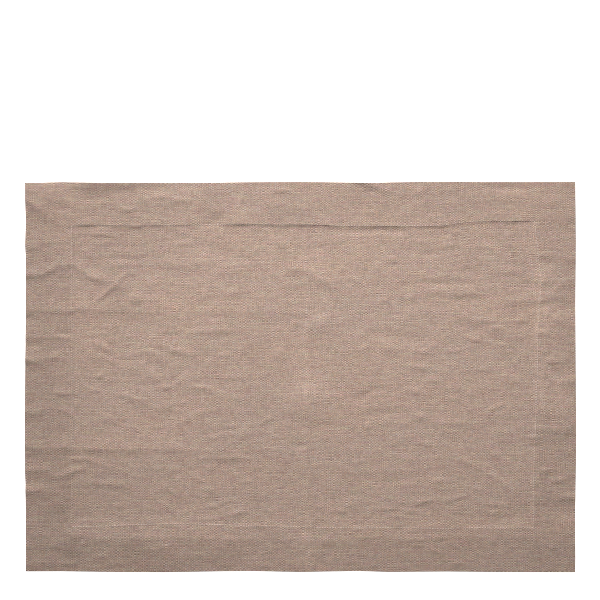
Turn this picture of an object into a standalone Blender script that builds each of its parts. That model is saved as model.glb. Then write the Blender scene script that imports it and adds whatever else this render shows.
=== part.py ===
"""Fabric placemat: one panel of woven cloth with a deep hem turned under, lying flat on a table.

The underside lies on the plane z = 0, with the long sides along X and the middle of the mat at
the origin. The face carries the stepped hem, the folds from packing and the main creases.
Tables are in millimetres: x runs to the right, y away from the viewer, z up.
"""

from collections import namedtuple
from math import ceil, cos, hypot, pi, radians

import bmesh
import bpy
import numpy as np
from mathutils import Vector

MM = 0.001

# Finished size, in millimetres.
LENGTH = 500.0
WIDTH = 354.0
FIELD_THICKNESS = 1.3
LEAST_THICKNESS = 1.0

# Mean depth of the hem, from the outer edge to its row of stitches.
HEM_LEFT = 42.5
HEM_RIGHT = 35.5
HEM_TOP = 39.5
HEM_BOTTOM = 40.5

# Spacing of the face's lines.
PITCH = 5.0

# Edges sharper than this stay crisp in the shading.
SHARP_ANGLE = radians(40.0)

CLOTH_COLOUR = (0.418, 0.301, 0.246, 1.0)
CLOTH_ROUGHNESS = 0.9

Section = namedtuple("Section", "inward thickness")
Wander = namedtuple("Wander", "at out")
Knot = namedtuple("Knot", "x y rise")
Fold = namedtuple("Fold", "above below knots")
Swell = namedtuple("Swell", "x y rise reach_x reach_y")

# Section through the outer edge: how far inward from it, and how much thinner the rolled edge is.
EDGE_SECTION = (
    Section(0.0, -0.75),
    Section(1.2, 0.0),
)

# Section through the hem's inner edge, measured inward from the row of stitches.
HEM_SECTION = (
    Section(-6.0, 2.0),
    Section(-2.0, 1.9),
    Section(0.0, 1.65),
    Section(2.0, 1.75),
    Section(4.5, FIELD_THICKNESS),
)

# How far each side's outer edge stands out from the straight line, along that side.
EDGE_TOP = (
    Wander(-246, -0.4), Wander(-218, 0.1), Wander(-150, -0.6), Wander(-95, -0.4),
    Wander(-41, 0.1), Wander(0, 0.3), Wander(64, -0.35), Wander(109, 0.3),
    Wander(136, 0.5), Wander(191, 0.2), Wander(246, 0.3),
)
EDGE_BOTTOM = (
    Wander(-246, -0.3), Wander(-218, -0.45), Wander(-168, 0.3), Wander(-123, 0.45),
    Wander(-68, -0.4), Wander(-41, -0.55), Wander(0, 0.25), Wander(54, -0.6),
    Wander(82, 0.2), Wander(136, -0.15), Wander(191, 0.35), Wander(232, 0.45),
)
EDGE_LEFT = (
    Wander(-164, -0.45), Wander(-142, -0.25), Wander(-98, -0.1), Wander(-88, 0.3),
    Wander(-33, 0.55), Wander(10, 0.1), Wander(76, -0.35), Wander(98, -0.5),
    Wander(120, 0.2), Wander(141, -0.2), Wander(174, 0.45),
)
EDGE_RIGHT = (
    Wander(-175, -0.45), Wander(-164, -0.2), Wander(-142, -0.45), Wander(-120, -0.35),
    Wander(-77, 0.35), Wander(-55, 0.55), Wander(-11, 0.25), Wander(43, -0.1),
    Wander(65, -0.25), Wander(120, 0.25), Wander(174, -0.25),
)

# How far each row of stitches strays from its mean line, outward, along that side.
STITCH_TOP = (
    Wander(-205, 0.7), Wander(-148, 0.8), Wander(-64, -1.5), Wander(91, -1.5),
    Wander(104, -2.4), Wander(141, 0.9), Wander(162, 3.9), Wander(211, 4.6),
)
STITCH_BOTTOM = (
    Wander(-209, -1.0), Wander(-112, -1.9), Wander(20, 1.6), Wander(191, 1.8),
)
STITCH_LEFT = (
    Wander(-136, 0.1), Wander(0, -0.1), Wander(137, 0.2),
)
STITCH_RIGHT = (
    Wander(-120, -2.5), Wander(-89, -2.5), Wander(-58, -1.3), Wander(-21, -0.2),
    Wander(4, 0.9), Wander(42, 1.3), Wander(83, 4.3), Wander(138, -1.9),
)

# Folds and creases. Each knot is a place and the rise there, less than zero in a trough. A fold's
# knots run from left to right, or upward; `above` is its reach to the left of that way, which is
# the far side of the mat, and `below` is its reach to the right.

# The folds from packing: one up the middle, and two along the mat at its thirds.
PACKING_FOLDS = (
    Fold(7, 8, (Knot(8, -172, 0.25), Knot(7, -30, 0.2), Knot(7, 40, 0.35), Knot(5, 170, 0.1))),
    Fold(10, 7, (Knot(-248, 60, 0.3), Knot(-190, 61, 0.22), Knot(-60, 60, 0.1), Knot(4, 57, 0.2))),
    Fold(9, 7, (Knot(-248, -64.5, 0.4), Knot(-120, -65.5, 0.25), Knot(4, -67.5, 0.1))),
    Fold(8, 7, (Knot(182, 68.5, 0.1), Knot(200, 69, 0.2), Knot(224, 70, 0.25))),
)

UPPER_FOLDS = (
    Fold(8, 7, (Knot(-248, 160, 0.35), Knot(-238, 153, 0.45), Knot(-226, 143, 0.2))),
    Fold(12, 8, (Knot(-248, 139, -0.55), Knot(-238, 135.5, -0.55), Knot(-208, 130.5, -0.1))),
    Fold(9, 7, (Knot(-248, 93, 0.3), Knot(-222, 99, 0.3), Knot(-190, 90.5, 0.4), Knot(-168, 83, 0.1))),
    Fold(7, 7, (Knot(-248, 119.5, 0.35), Knot(-236, 116, 0.1))),
    Fold(7, 7, (Knot(-165, 157.5, 0.3), Knot(-144, 140, 0.25))),
    Fold(8, 10, (Knot(-145, 162, 0.15), Knot(-118, 161.5, 0.4), Knot(-90, 162, 0.15))),
    Fold(7, 7, (Knot(-101, 138, -0.2), Knot(-89, 137.5, -0.4), Knot(-73, 138, -0.15))),
    Fold(7, 7, (Knot(-94, 119, -0.1), Knot(-72, 112, -0.4), Knot(-40, 102.5, -0.1))),
    Fold(7, 7, (Knot(-124, 103, 0.15), Knot(-107, 102, 0.3), Knot(-88, 103, 0.1))),
    Fold(11, 9, (Knot(-10, 99, 0.3), Knot(14, 91, 0.45), Knot(42, 74, 0.2))),
    Fold(7, 7, (Knot(47, 172, 0.5), Knot(62, 172, 0.5), Knot(81, 168, 0.15))),
    Fold(7, 7, (Knot(32, 133, -0.15), Knot(60, 132, -0.3), Knot(96, 132, -0.3))),
    Fold(7, 7, (Knot(236, 109, 0.2), Knot(248, 107, 0.35))),
    Fold(8, 8, (Knot(233, 135.5, -0.15), Knot(248, 134.5, -0.3))),
    Fold(8, 7, (Knot(214, 86.5, 0.2), Knot(222, 86, 0.5), Knot(229, 85.5, 0.15))),
    Fold(7, 8, (Knot(206, 65, -0.15), Knot(230, 64.5, -0.3), Knot(248, 63.5, -0.2))),
    Fold(7, 7, (Knot(113, 77.5, 0.1), Knot(138, 77, 0.25), Knot(158, 76, 0.2))),
)

MIDDLE_FOLDS = (
    Fold(11, 7, (Knot(-248, 15, 0.65), Knot(-236, 12.5, 0.3))),
    Fold(9, 8, (Knot(-248, -32, 0.4), Knot(-230, -28, 0.15))),
    Fold(7, 7, (Knot(-187, 31, 0.2), Knot(-178, 26.5, 0.45), Knot(-171, 21, 0.2))),
    Fold(8, 7, (Knot(-133, 29.5, 0.2), Knot(-119, 26.5, 0.45), Knot(-100, 21, 0.2))),
    Fold(7, 7, (Knot(-143, 12, 0.2), Knot(-138, 4, 0.4), Knot(-132, -4, 0.25))),
    Fold(9, 8, (Knot(-97, 39, 0.15), Knot(-85, 38, 0.35), Knot(-72, 38, 0.15))),
    Fold(7, 7, (Knot(62, 36.5, -0.15), Knot(90, 35.5, -0.3), Knot(114, 35, -0.15))),
    Fold(11, 8, (Knot(136, 58, 0.2), Knot(163, 50, 0.35), Knot(193, 37, 0.3))),
    Fold(12, 7, (Knot(200, -43, 0.15), Knot(225, -48, 0.3), Knot(248, -50.5, 0.35))),
    Fold(7, 7, (Knot(218, 16, 0.2), Knot(227, 16, 0.35), Knot(236, 15, 0.2))),
    Fold(7, 7, (Knot(236, -5, 0.2), Knot(248, -5, 0.35))),
    Fold(8, 7, (Knot(224, -44, 0.1), Knot(222, -28, 0.45), Knot(221, 2, 0.4), Knot(224, 60, 0.3))),
)

LOWER_FOLDS = (
    Fold(7, 7, (Knot(-88, -71, 0.15), Knot(-68, -71, 0.3), Knot(-50, -72, 0.15))),
    Fold(8, 10, (Knot(-248, -104, 0.6), Knot(-232, -104, 0.5), Knot(-210, -109, 0.15))),
    Fold(7, 8, (Knot(-247, -84, 0.3), Knot(-239, -84, 0.45), Knot(-230, -85, 0.15))),
    Fold(7, 7, (Knot(-247, -167, 0.2), Knot(-235, -168, 0.3), Knot(-222, -169, 0.1))),
    Fold(9, 9, (Knot(172, -131, -0.1), Knot(206, -122.5, -0.35), Knot(248, -119, -0.35))),
    Fold(8, 7, (Knot(144, -74.5, 0.2), Knot(168, -87, 0.35), Knot(194, -103.5, 0.2))),
    Fold(7, 7, (Knot(229, -109, 0.15), Knot(248, -109, 0.4))),
    Fold(7, 7, (Knot(95, -152.5, 0.15), Knot(106, -153, 0.45), Knot(128, -159, 0.2))),
    Fold(8, 20, (Knot(-205, -145, 0.2), Knot(-100, -146, 0.35), Knot(20, -148, 0.25))),
    Fold(8, 20, (Knot(20, -148, 0.25), Knot(110, -147, 0.35), Knot(212, -144, 0.2))),
)

FOLDS = PACKING_FOLDS + UPPER_FOLDS + MIDDLE_FOLDS + LOWER_FOLDS

# Rounded rises where folds cross and where the hem stands off the table.
SWELLS = (
    Swell(-150, 71.5, 0.75, 11, 10),
    Swell(17, 48, 0.65, 16, 14),
    Swell(7, -25, 0.7, 34, 24),
    Swell(-18, 21, 0.5, 12, 11),
    Swell(-54, 24.5, 0.3, 10, 10),
    Swell(58.5, 26, 0.4, 10, 9),
    Swell(7, -145.5, 0.3, 12, 11),
    Swell(-205, -144, 0.5, 9, 9),
    Swell(-104, -139, 0.4, 13, 9),
)


def remove_all_objects():
    for thing in list(bpy.data.objects):
        bpy.data.objects.remove(thing, do_unlink=True)


def along(table, at):
    """Outward stray of a side at a place along it, straight between the rows of its table."""
    return float(np.interp(at, [row.at for row in table], [row.out for row in table]))


def through(section, inward):
    """Thickness that a section gives at a distance inward."""
    return float(np.interp(inward, [row.inward for row in section], [row.thickness for row in section]))


def lines(marks):
    """Places of the face's lines: every mark, with even steps of at most one pitch between."""
    places = [marks[0]]
    for low, high in zip(marks, marks[1:]):
        steps = max(1, ceil((high - low) / PITCH))
        places.extend(np.linspace(low, high, steps + 1)[1:])
    return places


def side_marks(edge, hem, inward):
    """Marks across one hem, from its outer edge to where it has stepped down to the field."""
    stitches = edge + inward * hem
    marks = [edge + inward * row.inward for row in EDGE_SECTION]
    marks += [stitches + inward * row.inward for row in HEM_SECTION]
    return sorted(marks)


def bell(distance):
    """Smooth hump: 1 in the middle, 0 from a distance of 1 outwards."""
    return 0.5 + 0.5 * cos(pi * min(distance, 1.0))


def fold_rise(fold, x, y):
    """Rise that a fold gives at a point: of its nearest stretch, faded to both sides and past the ends."""
    nearest = 1.0
    rise = 0.0
    for start, end in zip(fold.knots, fold.knots[1:]):
        run_x = end.x - start.x
        run_y = end.y - start.y
        length = hypot(run_x, run_y)
        forward = ((x - start.x) * run_x + (y - start.y) * run_y) / length
        aside = ((y - start.y) * run_x - (x - start.x) * run_y) / length
        share = min(max(forward / length, 0.0), 1.0)
        past = (forward - share * length) * 2.0 / (fold.above + fold.below)
        away = hypot(aside / (fold.above if aside > 0.0 else fold.below), past)
        if away < nearest:
            nearest = away
            rise = (start.rise + share * (end.rise - start.rise)) * bell(away)
    return rise


def swell_rise(swell, x, y):
    """Rise that a rounded swell gives at a point."""
    return swell.rise * bell(hypot((x - swell.x) / swell.reach_x, (y - swell.y) / swell.reach_y))


def relief(x, y):
    """Rise of all folds and swells at a point. Where folds meet, the strongest counts."""
    rises = [fold_rise(fold, x, y) for fold in FOLDS]
    swelling = sum(swell_rise(swell, x, y) for swell in SWELLS)
    return max(rises + [0.0]) + min(rises + [0.0]) + swelling


def place(u, v):
    """Point of the cloth for a point of the straight mat: edges and stitch rows stray as sewn."""
    half_length = LENGTH / 2
    half_width = WIDTH / 2
    x_marks = (-half_length, HEM_LEFT - half_length, half_length - HEM_RIGHT, half_length)
    x_stray = (-along(EDGE_LEFT, v), -along(STITCH_LEFT, v), along(STITCH_RIGHT, v), along(EDGE_RIGHT, v))
    y_marks = (-half_width, HEM_BOTTOM - half_width, half_width - HEM_TOP, half_width)
    y_stray = (-along(EDGE_BOTTOM, u), -along(STITCH_BOTTOM, u), along(STITCH_TOP, u), along(EDGE_TOP, u))
    return u + float(np.interp(u, x_marks, x_stray)), v + float(np.interp(v, y_marks, y_stray))


def thickness(u, v):
    """Thickness of the mat at a point of the straight mat, without its creases."""
    from_edge = min(LENGTH / 2 - abs(u), WIDTH / 2 - abs(v))
    from_stitches = min(
        u + LENGTH / 2 - HEM_LEFT,
        LENGTH / 2 - HEM_RIGHT - u,
        v + WIDTH / 2 - HEM_BOTTOM,
        WIDTH / 2 - HEM_TOP - v,
    )
    return through(HEM_SECTION, from_stitches) + through(EDGE_SECTION, from_edge)


def placemat_mesh():
    """Flat grid of the mat's lines, thickened upward, with its face raised to the cloth's form."""
    columns = lines(side_marks(-LENGTH / 2, HEM_LEFT, 1) + side_marks(LENGTH / 2, HEM_RIGHT, -1))
    rows = lines(side_marks(-WIDTH / 2, HEM_BOTTOM, 1) + side_marks(WIDTH / 2, HEM_TOP, -1))
    last_column = len(columns) - 1
    last_row = len(rows) - 1

    bm = bmesh.new()
    bmesh.ops.create_grid(bm, x_segments=last_column, y_segments=last_row, size=0.5)
    for vert in bm.verts:
        vert.co.x = columns[round((vert.co.x + 0.5) * last_column)]
        vert.co.y = rows[round((vert.co.y + 0.5) * last_row)]

    underside = bm.faces[:]
    raised = bmesh.ops.extrude_face_region(bm, geom=underside)["geom"]
    face_verts = {item for item in raised if isinstance(item, bmesh.types.BMVert)}
    for vert in bm.verts:
        u, v, _ = vert.co
        x, y = place(u, v)
        z = max(thickness(u, v) + relief(x, y), LEAST_THICKNESS) if vert in face_verts else 0.0
        vert.co = Vector((x, y, z)) * MM
    bmesh.ops.dissolve_faces(bm, faces=underside, use_verts=True)
    bmesh.ops.recalc_face_normals(bm, faces=bm.faces[:])

    mesh = bpy.data.meshes.new("placemat_cloth")
    bm.to_mesh(mesh)
    bm.free()
    mesh.shade_smooth()
    mesh.set_sharp_from_angle(angle=SHARP_ANGLE)
    return mesh


def cloth_material():
    """Matt woven linen."""
    material = bpy.data.materials.new("linen_cloth")
    material.use_nodes = True
    shader = material.node_tree.nodes["Principled BSDF"]
    shader.inputs["Base Color"].default_value = CLOTH_COLOUR
    shader.inputs["Roughness"].default_value = CLOTH_ROUGHNESS
    shader.inputs["Metallic"].default_value = 0.0
    return material


def build_placemat():
    """The whole mat, as one object in a collection of its own."""
    collection = bpy.data.collections.new("Fabric placemat")
    bpy.context.scene.collection.children.link(collection)
    cloth = bpy.data.objects.new("placemat_cloth", placemat_mesh())
    cloth.data.materials.append(cloth_material())
    collection.objects.link(cloth)


remove_all_objects()
build_placemat()
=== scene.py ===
"""Fabric placemat: woven linen with a deep hem turned under and stitched, lying flat and creased."""

from collections import namedtuple
from math import cos, pi, radians, sin

import bmesh
import bpy
import numpy as np
from bpy.props import FloatProperty, FloatVectorProperty, PointerProperty
from mathutils import Matrix, Vector, noise


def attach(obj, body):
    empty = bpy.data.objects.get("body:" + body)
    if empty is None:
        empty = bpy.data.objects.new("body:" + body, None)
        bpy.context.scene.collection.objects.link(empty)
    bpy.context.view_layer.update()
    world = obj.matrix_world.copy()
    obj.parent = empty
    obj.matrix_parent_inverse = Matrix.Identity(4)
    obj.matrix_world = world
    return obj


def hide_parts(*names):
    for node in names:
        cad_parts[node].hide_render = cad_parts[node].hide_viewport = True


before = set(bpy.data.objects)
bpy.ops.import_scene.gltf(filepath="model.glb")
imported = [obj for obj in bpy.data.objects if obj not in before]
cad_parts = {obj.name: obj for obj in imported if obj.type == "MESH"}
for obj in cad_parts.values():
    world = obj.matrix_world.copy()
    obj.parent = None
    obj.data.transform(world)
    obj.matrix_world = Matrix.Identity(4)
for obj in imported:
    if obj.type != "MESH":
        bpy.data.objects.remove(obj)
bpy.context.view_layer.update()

bl_info = {
    "name": "Fabric placemat",
    "version": (1, 0, 0),
    "blender": (4, 5, 0),
    "location": "3D View > Sidebar > Placemat",
    "description": "Builds a hemmed linen placemat with its creases, weave and topstitching",
    "category": "Add Mesh",
}

CLOTH = "placemat"
SEWING = "topstitching"
CLOTH_NODE = "placemat_cloth"
THREAD_MAP = "cloth_threads"
LAY_MAP = "thread_lay"
BAKE_MAP = "OFBake"
# Attribute of the painted shade and light of broad slopes and of the hem, with some uneven tone
TONE = "painted_shade_and_tone"

MM = 0.001
ROUNDING = 1e-6         # far less than any step that counts

# Finished size in millimetres, and the mean depth of the hem to its row of stitches on each side.
LENGTH = 500.0
WIDTH = 354.0
HEM_LEFT = 42.5
HEM_RIGHT = 35.5
HEM_TOP = 39.5
HEM_BOTTOM = 40.5
HEM_TURN = 2.0          # cloth of the hem past its stitches

# Mean lines of the four rows of stitches, with the mat's middle at zero.
ROW_LEFT = HEM_LEFT - LENGTH / 2
ROW_RIGHT = LENGTH / 2 - HEM_RIGHT
ROW_BOTTOM = HEM_BOTTOM - WIDTH / 2
ROW_TOP = WIDTH / 2 - HEM_TOP

FIELD_FACE = 1.3        # height of the face over the table in the field, and in the hem
HEM_FACE = 1.75
LEAST_FIELD_FACE = 1.0
LEAST_HEM_FACE = 1.5

# Height of the face across the hem's inner edge: distance inward from the row of stitches, and height.
HEM_SECTION = ((-2.0, HEM_FACE), (-0.3, 1.74), (0.7, 1.65), (1.8, 1.53), (8.0, 1.42), (20.0, FIELD_FACE))

# Places along each side, and how far its outer edge stands out from the straight line there.
EDGE_TOP = (
    (-246, -0.4), (-218, 0.1), (-150, -0.6), (-95, -0.4), (-41, 0.1), (0, 0.3), (64, -0.35), (109, 0.3),
    (136, 0.5), (191, 0.2), (246, 0.3),
)
EDGE_BOTTOM = (
    (-246, -0.3), (-218, -0.45), (-168, 0.3), (-123, 0.45), (-68, -0.4), (-41, -0.55), (0, 0.25),
    (54, -0.6), (82, 0.2), (136, -0.15), (191, 0.35), (232, 0.45),
)
EDGE_LEFT = (
    (-164, -0.45), (-142, -0.25), (-98, -0.1), (-88, 0.3), (-33, 0.55), (10, 0.1), (76, -0.35),
    (98, -0.5), (120, 0.2), (141, -0.2), (174, 0.45),
)
EDGE_RIGHT = (
    (-175, -0.45), (-164, -0.2), (-142, -0.45), (-120, -0.35), (-77, 0.35), (-55, 0.55), (-11, 0.25),
    (43, -0.1), (65, -0.25), (120, 0.25), (174, -0.25),
)

# Places along each row of stitches, and how far it strays outward from its mean line there.
STITCH_TOP = (
    (-205, 0.3), (-90, 0.4), (-60, 1.2), (10, 1.2), (34, 0.0), (120, -0.1), (132, 0.3), (143, 2.1),
    (158, 3.7), (172, 4.2), (211, 4.2),
)
STITCH_BOTTOM = (
    (-205, -0.5), (-182, -0.8), (-148, -2.3), (-113, -3.0), (-79, -2.3), (-45, -1.2), (-10, -0.6),
    (24, 0.5), (58, 0.1), (92, 0.6), (127, 1.3), (161, 0.6), (196, 0.6),
)
STITCH_LEFT = ((-136, 0.1), (0, -0.1), (137, 0.2))
STITCH_RIGHT = (
    (-120, -2.5), (-89, -2.5), (-58, -1.3), (-21, -0.2), (4, 0.9), (42, 1.3), (83, 4.3), (138, -1.9),
)

# Folds, in millimetres: how far each reaches above and below its line, then the line's knots. A knot
# is x, y and the rise there, less than zero in a trough. Knots run from left to right, or upward, and
# above is to the left of that way, which is towards the far side of the mat.
Fold = namedtuple("Fold", "above below knots")
WANDER = 2.0            # how far folds stray from their knots at most
FOOT = 1.5              # how far the soft foot of a fold goes, to the reach in its row
SHARPNESS = 1.7         # height of a fold's sharp crest, to the rise in its row
CREST_SHARE = 0.65      # share of the sharp crest in a fold's section, the rest being its soft foot

# The folds from packing: one up the middle, and two along the mat at its thirds.
PACKING_FOLDS = (
    (4, 6, (8, -176, 0.15), (7, -150, 0.2), (7, -100, 0.1), (7, -30, 0.15), (8, 10, 0.25),
     (7, 52, 0.25), (6, 100, 0.1), (5, 174, 0.1)),
    (12, 6, (-253, 60, 0.3), (-230, 60.5, 0.3), (-190, 61, 0.28), (-160, 60, 0.25), (-120, 60, 0.12),
     (-60, 60, 0.08), (-34, 60, 0.18), (-12, 59, 0.2), (4, 57, 0.15)),
    (12, 7, (-253, -63.5, 0.6), (-240, -65, 0.5), (-200, -65.5, 0.35), (-120, -65.5, 0.3),
     (-85, -67.5, 0.2), (-50, -66.5, 0.15), (-20, -67.5, 0.1), (4, -67.5, 0.05)),
    (7, 6, (176, 68.5, 0.15), (200, 69, 0.3), (218, 69.5, 0.35), (228, 71.5, 0.15)),
    (7, 7, (60, -69.5, 0.06), (95, -69.5, 0.07), (135, -68.5, 0.03)),
)
UPPER_LEFT_FOLDS = (
    (8, 5, (-256, 166, 0.5), (-242, 156, 0.6), (-229, 145, 0.2)),
    (8, 5, (-253, 140.5, -0.5), (-238, 135.5, -0.55), (-222, 132, -0.4), (-206, 130.5, -0.05)),
    (5, 5, (-230, 155, -0.15), (-218, 154, -0.3), (-208, 153, -0.1)),
    (8, 6, (-204, 173, 0.2), (-186, 171, 0.25), (-176, 170, 0.1)),
    (6, 4, (-253, 92, 0.45), (-234, 93, 0.5), (-220, 101, 0.3), (-206, 102, 0.35), (-190, 90.5, 0.45),
     (-174, 84.5, 0.25), (-166, 82.5, 0.05)),
    (4, 3, (-172, 102.5, 0.1), (-164, 102.5, 0.3), (-156, 103, 0.1)),
    (4, 4, (-188, 65.5, 0.2), (-182, 71.5, 0.4), (-170, 82.5, 0.4), (-156, 95.5, 0.2)),
    (7, 6, (-253, 121, 0.35), (-243, 118, 0.35), (-235, 116, 0.05)),
    (5, 6, (-165, 157.5, 0.3), (-153, 150, 0.3), (-144, 140, 0.2)),
    (8, 10, (-145, 162, 0.15), (-128, 162, 0.35), (-106, 161, 0.4), (-88, 162, 0.15)),
    (4, 3, (-200, 131, 0.1), (-188, 130, 0.3), (-176, 129, 0.4), (-163, 127, 0.1)),
    (6, 5, (-132, 139, 0.1), (-122, 137, 0.15), (-112, 132, 0.15), (-102, 129, 0.1)),
    (6, 6, (-101, 138, -0.2), (-91, 137.5, -0.4), (-79, 138, -0.3), (-71, 138, -0.1)),
    (7, 7, (-94, 119, -0.1), (-79, 113.5, -0.35), (-65, 110.5, -0.35), (-49, 106.5, -0.2),
     (-37, 101, -0.05)),
    (7, 6, (-124, 103, 0.15), (-114, 102, 0.3), (-100, 102, 0.25), (-86, 103, 0.1)),
    (4, 4, (-34, 103.5, 0.1), (-27, 96.5, 0.22), (-19, 88.5, 0.22), (-13, 81.5, 0.1)),
    (5, 5, (-26, 125, 0.15), (-16, 119, 0.3), (-7, 112, 0.25), (-4, 106, 0.1)),
    (5, 4, (-26, 170, 0.15), (-18, 169, 0.4), (-8, 167, 0.15)),
    (5, 5, (-70, 77, 0.1), (-62, 76, 0.27), (-54, 76, 0.1)),
)
UPPER_RIGHT_FOLDS = (
    (11, 8, (-10, 99, 0.3), (4, 96, 0.4), (17, 89, 0.45), (29, 83, 0.4), (42, 74, 0.15)),
    (6, 6, (49, 180, 0.6), (62, 176, 0.6), (77, 170, 0.4), (86, 168, 0.05)),
    (4, 6, (28, 134, -0.1), (48, 133, -0.3), (88, 133, -0.35), (100, 133, -0.1)),
    (4, 4, (86, 67.5, -0.05), (96, 67, -0.3), (106, 67, -0.05)),
    (4, 4, (45, 91, 0.1), (52, 86, 0.3), (60, 79, 0.1)),
    (6, 6, (165, 165, 0.06), (177, 164, 0.12), (195, 163, 0.12), (213, 163, 0.03)),
    (7, 6, (236, 109, 0.15), (245, 107, 0.35), (253, 107, 0.35)),
    (8, 8, (232, 135.5, -0.1), (242, 134.5, -0.3), (253, 134.5, -0.3)),
    (8, 5, (214, 87, 0.1), (222, 86, 0.5), (229, 86, 0.15)),
    (6, 6, (217, 69, 0.1), (229, 76, 0.2), (237, 85, 0.2), (253, 91, 0.15)),
    (6, 8, (205, 66, -0.1), (222, 65, -0.3), (240, 64, -0.3), (253, 63, -0.2)),
    (4, 4, (180, 138, 0.2), (190, 123, 0.36), (203, 107, 0.18)),
    (5, 5, (168, 120, 0.15), (177, 114, 0.4), (187, 109, 0.15)),
    (6, 3, (110, 90, 0.1), (126, 89.5, 0.16), (142, 89.5, 0.1)),
    (7, 6, (113, 77.5, 0.15), (138, 77, 0.3), (159, 76, 0.2), (168, 75, 0.1)),
    (5, 5, (166, 107, 0.05), (180, 108, 0.1), (190, 107, 0.05)),
    (5, 5, (181, 95.5, 0.1), (192, 96, 0.22), (201, 96, 0.1)),
    (4, 4, (127, 121, 0.1), (137, 120, 0.2), (145, 120, 0.05)),
    (4, 4, (125, 137.5, 0.05), (137, 137.5, 0.14), (147, 136.5, 0.05)),
)
MIDDLE_LEFT_FOLDS = (
    (5, 4, (-253, 37, 0.2), (-238, 36, 0.25), (-228, 36, 0.15), (-219, 36, 0.35), (-208, 34, 0.05)),
    (11, 6, (-253, 15, 0.65), (-243, 14.5, 0.6), (-235, 12, 0.25)),
    (9, 7, (-253, -32, 0.4), (-240, -32, 0.4), (-228, -27, 0.1)),
    (8, 8, (-253, -43.5, -0.2), (-241, -42.5, -0.2), (-232, -41.5, -0.05)),
    (5, 6, (-187, 31, 0.15), (-178, 26.5, 0.45), (-171, 21, 0.15)),
    (7, 5, (-192, 19.5, 0.1), (-181, 18, 0.35), (-171, 13.5, 0.25), (-158, 8.5, 0.1),
     (-146, 6.5, 0.05)),
    (8, 6, (-133, 29.5, 0.2), (-123, 28, 0.45), (-110, 23.5, 0.4), (-98, 20.5, 0.15)),
    (5, 5, (-166, 19, 0.1), (-150, 21, 0.2), (-137, 23.5, 0.25), (-129, 19, 0.2), (-125, 13, 0.1)),
    (5, 4, (-143, 12, 0.2), (-138, 5, 0.4), (-132, -4, 0.25)),
    (4, 4, (-222, -27.5, 0.1), (-213, -31.5, 0.35), (-206, -37.5, 0.15)),
    (5, 4, (-163, -16, 0.1), (-157, -17.5, 0.3), (-147, -21.5, 0.35), (-139, -24, 0.05)),
    (6, 5, (-140, -27, 0.05), (-130, -28, 0.15), (-118, -28, 0.1)),
    (5, 4, (-188, -32.5, 0.15), (-182, -34.5, 0.2), (-174, -38.5, 0.3), (-166, -42, 0.05)),
    (5, 5, (-177, 46.5, 0.1), (-169, 46.5, 0.25), (-161, 46, 0.05)),
    (7, 5, (-98, 42, 0.1), (-85, 41.5, 0.3), (-71, 41.8, 0.35), (-62, 42, 0.2), (-55, 42, 0.05)),
    (3, 4, (-100, -8.5, 0.15), (-88, -9.5, 0.35), (-78, -11.5, 0.1)),
    (4, 4, (-113, -41.5, 0.1), (-107, -40.5, 0.25), (-100, -39.5, 0.1)),
    (4, 3, (-87, -56, 0.1), (-77, -55.5, 0.3), (-67, -53.5, 0.2), (-55, -52.5, 0.15), (-43, -53, 0.05)),
    (8, 5, (-30, 55, 0.1), (-20, 56, 0.16), (-6, 55, 0.1)),
)
MIDDLE_RIGHT_FOLDS = (
    (6, 6, (60, 37.5, -0.1), (72, 38, -0.3), (88, 36, -0.25), (104, 34.5, -0.4), (118, 34.5, -0.1)),
    (5, 4, (70, 25, 0.1), (79, 24.5, 0.32), (86, 24, 0.1)),
    (3.5, 6, (101, 10, 0.1), (110, 9.5, 0.4), (119, 8, 0.1)),
    (4, 4, (50, -21, -0.2), (58, -17, -0.42), (67, -12, -0.25), (78, -11.5, -0.1)),
    (5, 5, (58, -34.5, -0.1), (68, -34, -0.25), (85, -33, -0.25), (98, -33.5, -0.05)),
    (5, 4, (94, -12, 0.05), (104, -13, 0.4), (115, -15.5, 0.1)),
    (4, 4, (102, -35, 0.1), (110, -36.3, 0.4), (118, -38, 0.1)),
    (11, 8, (136, 58, 0.2), (148, 55.5, 0.3), (163, 52.5, 0.35), (178, 43, 0.35), (193, 37, 0.25),
     (202, 34, 0.1)),
    (5, 4, (151, 34, 0.1), (160, 34, 0.35), (168, 34, 0.05)),
    (5, 5, (141, 17, 0.05), (151, 16.5, 0.2), (159, 16, 0.05)),
    (5, 5, (156, 7.5, 0.1), (164, 7, 0.32), (172, 7, 0.1)),
    (6, 9, (176, 0, 0.05), (188, 0, 0.15), (200, -2, 0.1), (206, -4, 0.05)),
    (4, 4, (204, -4, 0.05), (214, -4.5, 0.2), (224, -4, 0.05)),
    (10, 6, (200, -43, 0.15), (212, -46.5, 0.25), (225, -48.5, 0.25), (253, -51, 0.3)),
    (6, 5, (216, 15, 0.1), (228, 14.5, 0.35), (238, 14, 0.1)),
    (6, 6, (235, -5, 0.1), (247, -5, 0.3), (253, -5, 0.3)),
    (7, 6, (223, 53, 0.1), (232, 52, 0.3), (241, 51, 0.1)),
    (6, 6, (227, 38, 0.05), (233, 38, 0.2), (241, 37, 0.05)),
    (5, 5, (214, 41, 0.1), (219, 40.5, 0.45), (225, 40, 0.1)),
    (8, 7, (224, -44, 0.1), (222, -30, 0.45), (222, -12, 0.35), (221, 2, 0.45), (223, 15, 0.1),
     (223, 30, 0.4), (224, 48, 0.15), (224, 62, 0.3)),
)
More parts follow.
